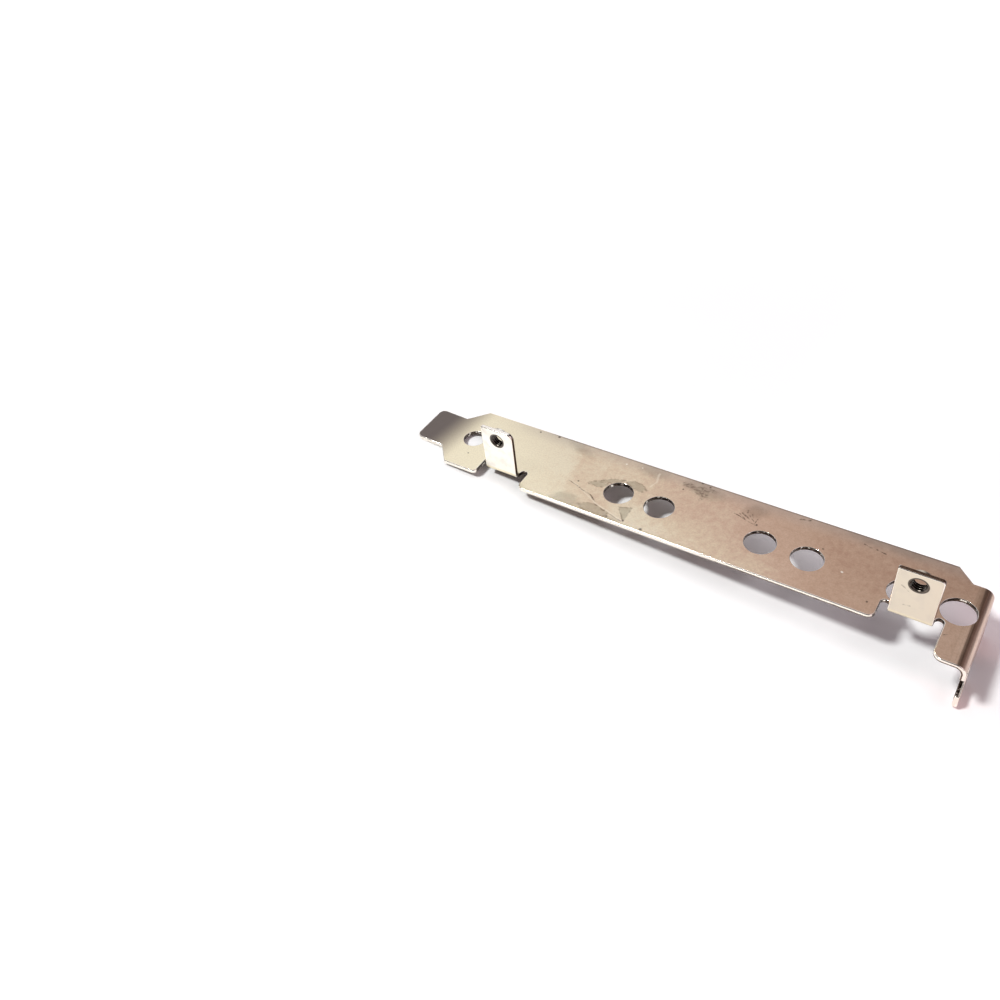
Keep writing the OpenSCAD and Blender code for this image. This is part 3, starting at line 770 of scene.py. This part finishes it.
def sheared_edge():
    """Nickel over the sheet's sheared edges: a burnished band, and a dull one where the sheet broke through.
    The eye sees a bright, glossy rim with a brown line beside it, and dark, shiny walls in the holes and slots. The
    walls' darkness is painted shade, with painted glints in bright patches, and the tabs' sides that face the flange
    are painted dark as shade."""
    material, tree = new_material("nickel_plate_on_sheared_edge")
    plate = plate_coordinates(tree)
    along, across, height = add(tree, "ShaderNodeSeparateXYZ", links={0: plate}).outputs
    on_tabs = add(tree, *STEP, {"Value": height, "From Min": 0.1, "From Max": 0.6}).outputs[0]
    by_flange = add(tree, *STEP, {"Value": along, "From Min": 58.0, "From Max": 84.0}).outputs[0]
    depth = add(
        tree,
        "ShaderNodeMix",
        {"data_type": "FLOAT"},
        {"Factor": on_tabs, "A": depth_in_plate(tree, plate), "B": depth_in_tabs(tree, plate)},
    ).outputs[0]
    # The broken band lies under the burnished one on the plate, and next to the inner side on the tab by the flange
    wander = add(tree, NOISE, links={"Vector": plate, "Scale": 1 / EDGE_WANDER, "Detail": 3.0}).outputs["Fac"]
    unsteady = add(tree, *TIMES_PLUS, {0: wander, 1: 0.3, 2: -0.15}).outputs[0]
    past_corner = add(tree, *STEP, {"Value": along, "From Min": 105.0, "From Max": 105.6, "To Min": 0.45}).outputs[0]
    torn_tab = add(tree, *TIMES, {0: by_flange, 1: past_corner}).outputs[0]
    near_tab = add(tree, *TIMES, {0: on_tabs, 1: torn_tab}).outputs[0]
    middle = add(tree, *TIMES_PLUS, {0: near_tab, 1: -0.24, 2: 0.64}).outputs[0]
    plate_half = add(
        tree, *STEP, {"Value": by_flange, "From Min": 0.0, "From Max": 1.0, "To Min": -0.08, "To Max": 0.13}
    ).outputs[0]
    half = add(tree, *TIMES_PLUS, {0: near_tab, 1: 0.22, 2: plate_half}).outputs[0]
    off_middle = add(tree, *MINUS, {0: depth, 1: middle}).outputs[0]
    off_band = add(tree, *PLUS, {0: off_middle, 1: unsteady}).outputs[0]
    gap = add(tree, *ABSOLUTE, {0: off_band}).outputs[0]
    past_band = add(tree, *MINUS, {0: gap, 1: half}).outputs[0]
    band = add(tree, *STEP, {"Value": past_band, "From Min": 0.06, "From Max": -0.06}).outputs[0]
    # Painted shade: the sides of the tabs that face the flange take the dark tone of the broken band
    normal = add(tree, "ShaderNodeTexCoord").outputs["Normal"]
    facing = add(tree, "ShaderNodeSeparateXYZ", links={0: normal}).outputs[0]
    to_flange = add(tree, *STEP, {"Value": facing, "From Min": 0.7, "From Max": 0.95}).outputs[0]
    shaded_tab_sides = add(tree, *TIMES, {0: to_flange, 1: on_tabs}).outputs[0]
    broken = add(tree, *LARGER, {0: band, 1: shaded_tab_sides}).outputs[0]
    # The sheet's outline on the tabs' side steps out from the tongue to the plate, and again to the ear
    plate_side = add(
        tree, *STEP, {"Value": along, "From Min": 15.0, "From Max": 19.0, "To Min": -4.8, "To Max": -8.8}
    ).outputs[0]
    ear_side = add(tree, *STEP, {"Value": along, "From Min": 116.5, "From Max": 118.5, "To Max": -3.8}).outputs[0]
    outline = add(tree, *PLUS, {0: plate_side, 1: ear_side}).outputs[0]
    from_outline = add(tree, *MINUS, {0: across, 1: outline}).outputs[0]
    # Inside the outline, above the flange's end and below the burnished rim are the walls of the holes and slots.
    # Painted shade darkens them, except where random patches stay bright as painted glints
    punched = 1.0
    for place, start, end in (
        (from_outline, 0.0, 0.2),
        (across, 4.9, 4.7),
        (height, -11.3, -11.1),
        (depth, 0.0, 0.08),
        (on_tabs, 1.0, 0.0),
        (wander, 0.62, 0.56),
    ):
        share = add(tree, *STEP, {"Value": place, "From Min": start, "From Max": end}).outputs[0]
        punched = add(tree, *TIMES, {0: punched, 1: share}).outputs[0]
    # Lines run through the sheet's thickness
    streaks = add(tree, *VECTOR_TIMES, {0: plate, 1: [1 / size for size in TEARING]}).outputs[0]
    tearing = add(tree, NOISE, links={"Vector": streaks, "Scale": 1.0, "Detail": 3.0}).outputs["Fac"]
    # The last of these tones, for the walls, is painted shade
    burnished, torn, shaded_wall_tone = [
        set_stops(add(tree, "ShaderNodeValToRGB", links={"Fac": tearing}), ((0.3, darker), (0.68, lighter)))
        for darker, lighter in (("#F1E9DB", "#FFFBF2"), ("#3F3029", "#745C4C"), ("#2C2520", "#5E534A"))
    ]
    walls = add(tree, *BLEND, {"Factor": punched, "A": burnished, "B": shaded_wall_tone}).outputs["Result"]
    tone = add(tree, *BLEND, {"Factor": broken, "A": walls, "B": torn}).outputs["Result"]
    roughness = add(tree, *TIMES_PLUS, {0: broken, 1: 0.3, 2: 0.13}).outputs[0]
    relief = {"Height": tearing, "Strength": 0.15, "Distance": RELIEF_HEIGHT * MM}
    torn_relief = add(tree, "ShaderNodeBump", links=relief).outputs[0]
    metal = add(
        tree,
        "ShaderNodeBsdfPrincipled",
        links={"Base Color": tone, "Metallic": 1.0, "Roughness": roughness, "Normal": torn_relief},
    )
    add(tree, "ShaderNodeOutputMaterial", links={"Surface": metal.outputs[0]})
    return material


def cut_thread():
    """Bare steel, where the threads were cut through the plating, its tones darkened as painted shade inside the
    bores.
    The eye sees dark flanks with small sharp glints."""
    material, tree = new_material("bare_steel_thread_painted_dark")
    plate = plate_coordinates(tree)
    chatter = add(tree, NOISE, links={"Vector": plate, "Scale": 1 / CHATTER, "Detail": 2.0}).outputs["Fac"]
    # Painted shade: the thread runs from near black to a dark grey for the shade inside the bores
    tone = set_stops(add(tree, "ShaderNodeValToRGB", links={"Fac": chatter}), ((0.4, "#23201E"), (0.8, "#8F8880")))
    metal = add(tree, "ShaderNodeBsdfPrincipled", links={"Base Color": tone, "Metallic": 1.0, "Roughness": 0.14})
    add(tree, "ShaderNodeOutputMaterial", links={"Surface": metal.outputs[0]})
    return material


# ------------------------------------------------------------------------------------- the folded sheet


def sheet_skins(shell):
    """The two largest regions of faces that meet at blunt angles: the sheet's two sides. The rest is edge."""
    regions, seen = [], set()
    for first in shell.faces:
        if first in seen:
            continue
        region, edge_of_search = [], [first]
        seen.add(first)
        while edge_of_search:
            face = edge_of_search.pop()
            region.append(face)
            for edge in face.edges:
                if not edge.smooth:
                    continue
                for other in edge.link_faces:
                    if other not in seen:
                        seen.add(other)
                        edge_of_search.append(other)
        regions.append(region)
    regions.sort(key=lambda region: sum(face.calc_area() for face in region), reverse=True)
    return [face for region in regions[:2] for face in region]


def in_a_hole(point):
    """Whether a point of the sheet is on the rim of one of its round holes."""
    for mount in mounts.values():
        if "r_mm" in mount["dims"] and mount["kind"] != "other":
            axis = Vector(mount["axis"]).normalized()
            away = point - Vector(mount["pos_m"])
            climb = away.dot(axis)
            past_wall = (away - climb * axis).length / MM - mount["dims"]["r_mm"]
            if past_wall < HOLE_MARGIN and abs(climb) / MM < HOLE_REACH:
                return True
    return False


def make_bracket(surface, edges, threads):
    """The folded sheet with its sheared edges rounded and its two holes tapped."""
    shell = bmesh.new()
    shell.from_mesh(frame["nodes"]["bracket"].data)
    bmesh.ops.remove_doubles(shell, verts=shell.verts, dist=WELD)
    bmesh.ops.dissolve_limit(shell, angle_limit=math.radians(SAME_FACE), verts=shell.verts, edges=shell.edges)
    weight = shell.edges.layers.float.new("bevel_weight_edge")
    for edge in shell.edges:
        edge.smooth = edge.calc_face_angle() < math.radians(SHEET_EDGE)
        if not edge.smooth:
            middle = (edge.verts[0].co + edge.verts[1].co) / 2
            edge[weight] = HOLE_ROUNDING / EDGE_ROUNDING if in_a_hole(middle) else 1.0
    for face in shell.faces:
        face.material_index = EDGES
    for face in sheet_skins(shell):
        face.material_index = SURFACE
    mesh = bpy.data.meshes.new("bracket_sheet")
    shell.to_mesh(mesh)
    shell.free()
    for material in (surface, edges, threads):
        mesh.materials.append(material)
    bracket = new_object("bracket_sheet", mesh)

    rounding = bracket.modifiers.new("rounded_edges", "BEVEL")
    rounding.limit_method = "WEIGHT"
    rounding.width = EDGE_ROUNDING * MM
    rounding.segments = ROUNDING_SEGMENTS
    rounding.use_clamp_overlap = False
    rounding.material = EDGES
    taps = make_taps(threads)
    tapping = bracket.modifiers.new("tapped_holes", "BOOLEAN")
    tapping.operation = "DIFFERENCE"
    tapping.solver = "EXACT"
    tapping.object = taps
    mesh = baked_mesh(bracket, "bracket_sheet_tapped")
    bracket.modifiers.clear()
    bracket.data = mesh
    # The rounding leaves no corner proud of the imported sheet
    for vertex in mesh.vertices:
        vertex.co = [min(max(place, low), high) for place, low, high in zip(vertex.co, *cad_box)]
    bpy.data.objects.remove(taps)

    mesh.shade_smooth()
    mesh.set_sharp_from_angle(angle=math.radians(SHARP_SHADING))
    weights = bracket.modifiers.new("flat_faces_stay_flat", "WEIGHTED_NORMAL")
    weights.keep_sharp = True
    weights.weight = 100
    bracket.data = baked_mesh(bracket, "bracket_sheet_finished")
    bracket.modifiers.clear()
    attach(bracket, "root")
    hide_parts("bracket")


# --------------------------------------------------------------------------------- table, light, camera


def make_table():
    """A plain white table top, bright enough to fill the background, that keeps the bracket's shadow; a painted glow
    brightens it round the bracket.
    """
    material, tree = new_material("matt_white_table")
    # A faint unevenness, as on laminate
    place = add(tree, "ShaderNodeTexCoord").outputs["Object"]
    uneven = add(tree, NOISE, links={"Vector": place, "Scale": 1 / UNEVENNESS, "Detail": 2.0}).outputs["Fac"]
    tone = set_stops(add(tree, "ShaderNodeValToRGB", links={"Fac": uneven}), ((0.0, "#FBF9F9"), (1.0, "#FFFEFE")))
    # The table is white where it is seen, and lights the bracket as a grey one would
    path = add(tree, "ShaderNodeLightPath").outputs
    seen = add(tree, *LARGER, {0: path["Is Camera Ray"], 1: path["Is Glossy Ray"]}).outputs[0]
    top = add(tree, *BLEND, {"Factor": seen, "A": linear("#D2CFCF"), "B": tone}).outputs["Result"]
    matt = add(
        tree, "ShaderNodeBsdfPrincipled", links={"Base Color": top, "Roughness": 0.7, "Specular IOR Level": 0.2}
    )
    # Painted light: the table glows for the camera most in front of the bracket and far from it
    along, across, _ = add(tree, "ShaderNodeSeparateXYZ", links={0: place}).outputs
    glows = {"To Min": SHADE_GLOW, "To Max": OPEN_GLOW}
    front = add(tree, *STEP, {"Value": across, "From Min": -5 * MM, "From Max": -11 * MM, **glows}).outputs[0]
    away = add(tree, *LENGTH, {0: place}).outputs["Value"]
    round_it = add(tree, *STEP, {"Value": away, "From Min": 75 * MM, "From Max": 200 * MM, **glows}).outputs[0]
    painted_light_open = add(tree, *LARGER, {0: front, 1: round_it}).outputs[0]
    # Painted light: a little more glow under the plate's far side, where the plate stands higher
    far_side = add(tree, *STEP, {"Value": across, "From Min": 1 * MM, "From Max": 5 * MM}).outputs[0]
    gap = add(
        tree, *STEP, {"Value": along, "From Min": 0.0, "From Max": 30 * MM, "To Min": 0.01, "To Max": 0.08}
    ).outputs[0]
    through = add(tree, *TIMES_PLUS, {0: far_side, 1: gap, 2: painted_light_open}).outputs[0]
    painted_glow = add(tree, *TIMES, {0: seen, 1: through}).outputs[0]
    # The shadow of the flange is a little pink
    by_flange = add(tree, *STEP, {"Value": along, "From Min": 48 * MM, "From Max": 58 * MM}).outputs[0]
    close = add(tree, *STEP, {"Value": away, "From Min": 100 * MM, "From Max": 75 * MM}).outputs[0]
    pink = add(tree, *TIMES, {0: by_flange, 1: close}).outputs[0]
    blush = add(tree, *BLEND, {"Factor": pink, "A": linear("#FFFFFF"), "B": linear("#FFBEC1")}).outputs["Result"]
    glow = add(tree, "ShaderNodeEmission", links={"Color": blush, "Strength": painted_glow})
    both = add(tree, "ShaderNodeAddShader", links={0: matt.outputs[0], 1: glow.outputs[0]})
    add(tree, "ShaderNodeOutputMaterial", links={"Surface": both.outputs[0]})
    mesh = bpy.data.meshes.new("table_top")
    corners = [(x * TABLE_HALF, y * TABLE_HALF, 0) for x, y in ((-1, -1), (1, -1), (1, 1), (-1, 1))]
    mesh.from_pydata(corners, [], [(0, 1, 2, 3)])
    mesh.materials.append(material)
    table = new_object("table_top", mesh)


def make_world():
    """A soft room: a bright window wall behind on the left, a dimmer one on the right, and little from the front."""
    world = bpy.data.worlds.new("soft_room")
    bpy.context.scene.world = world
    world.use_nodes = True
    tree = world.node_tree
    tree.nodes.clear()
    direction = add(tree, "ShaderNodeTexCoord").outputs["Generated"]
    # The room is nearly dark but for its two windows, each (direction, spread in degrees, colour)
    light = (0.02, 0.01, 0.01)
    for towards, spread, colour in (
        ((-0.455, 0.455, 0.766), 45.0, (1.0, 1.0, 1.05)),
        ((0.85, 0.0, 0.53), 46.0, (1.25, 1.05, 1.12)),
    ):
        facing = add(tree, *DOT, {0: direction, 1: towards}).outputs["Value"]
        share = add(
            tree, *STEP, {"Value": facing, "From Min": math.cos(math.radians(spread)), "From Max": 1.0}
        ).outputs[0]
        glow = add(tree, *VECTOR_SCALE, {0: colour, "Scale": share}).outputs[0]
        light = add(tree, *VECTOR_PLUS, {0: light, 1: glow}).outputs[0]
    room = add(tree, "ShaderNodeBackground", links={"Color": light, "Strength": 1.0})
    white = add(tree, "ShaderNodeBackground", links={"Color": (1.0, 1.0, 1.0, 1.0), "Strength": 1.0})
    path = add(tree, "ShaderNodeLightPath").outputs["Is Camera Ray"]
    both = add(tree, "ShaderNodeMixShader", links={0: path, 1: room.outputs[0], 2: white.outputs[0]})
    add(tree, "ShaderNodeOutputWorld", links={"Surface": both.outputs[0]})


def make_window():
    """A round soft lamp that stands in for the window, on the left in front of the bracket, and shines at it."""
    lamp = bpy.data.lights.new("window", "AREA")
    lamp.shape = "DISK"
    lamp.size = 0.4
    lamp.energy = 50.0
    lamp.color = (0.97, 1.0, 0.99)
    thing = new_object("window", lamp)
    back = Vector(WINDOW_DIRECTION).normalized()
    thing.location = back * WINDOW_DISTANCE
    thing.rotation_mode = "QUATERNION"
    thing.rotation_quaternion = (-back).to_track_quat("-Z", "Y")


def make_camera():
    """The camera looks down on the bracket from its tab side."""
    lens = bpy.data.cameras.new("camera")
    lens.sensor_width = SENSOR
    lens.lens = LENS
    lens.clip_start = 0.01
    lens.clip_end = 20.0
    camera = new_object("camera", lens)
    camera.location = Vector(CAMERA_PLACE) * MM
    camera.rotation_euler = [math.radians(turn) for turn in CAMERA_TURN]
    bpy.context.scene.camera = camera


make_bracket(plated_steel(), sheared_edge(), cut_thread())
make_table()
make_world()
make_window()
make_camera()
bpy.context.scene.view_settings.view_transform = "Standard"
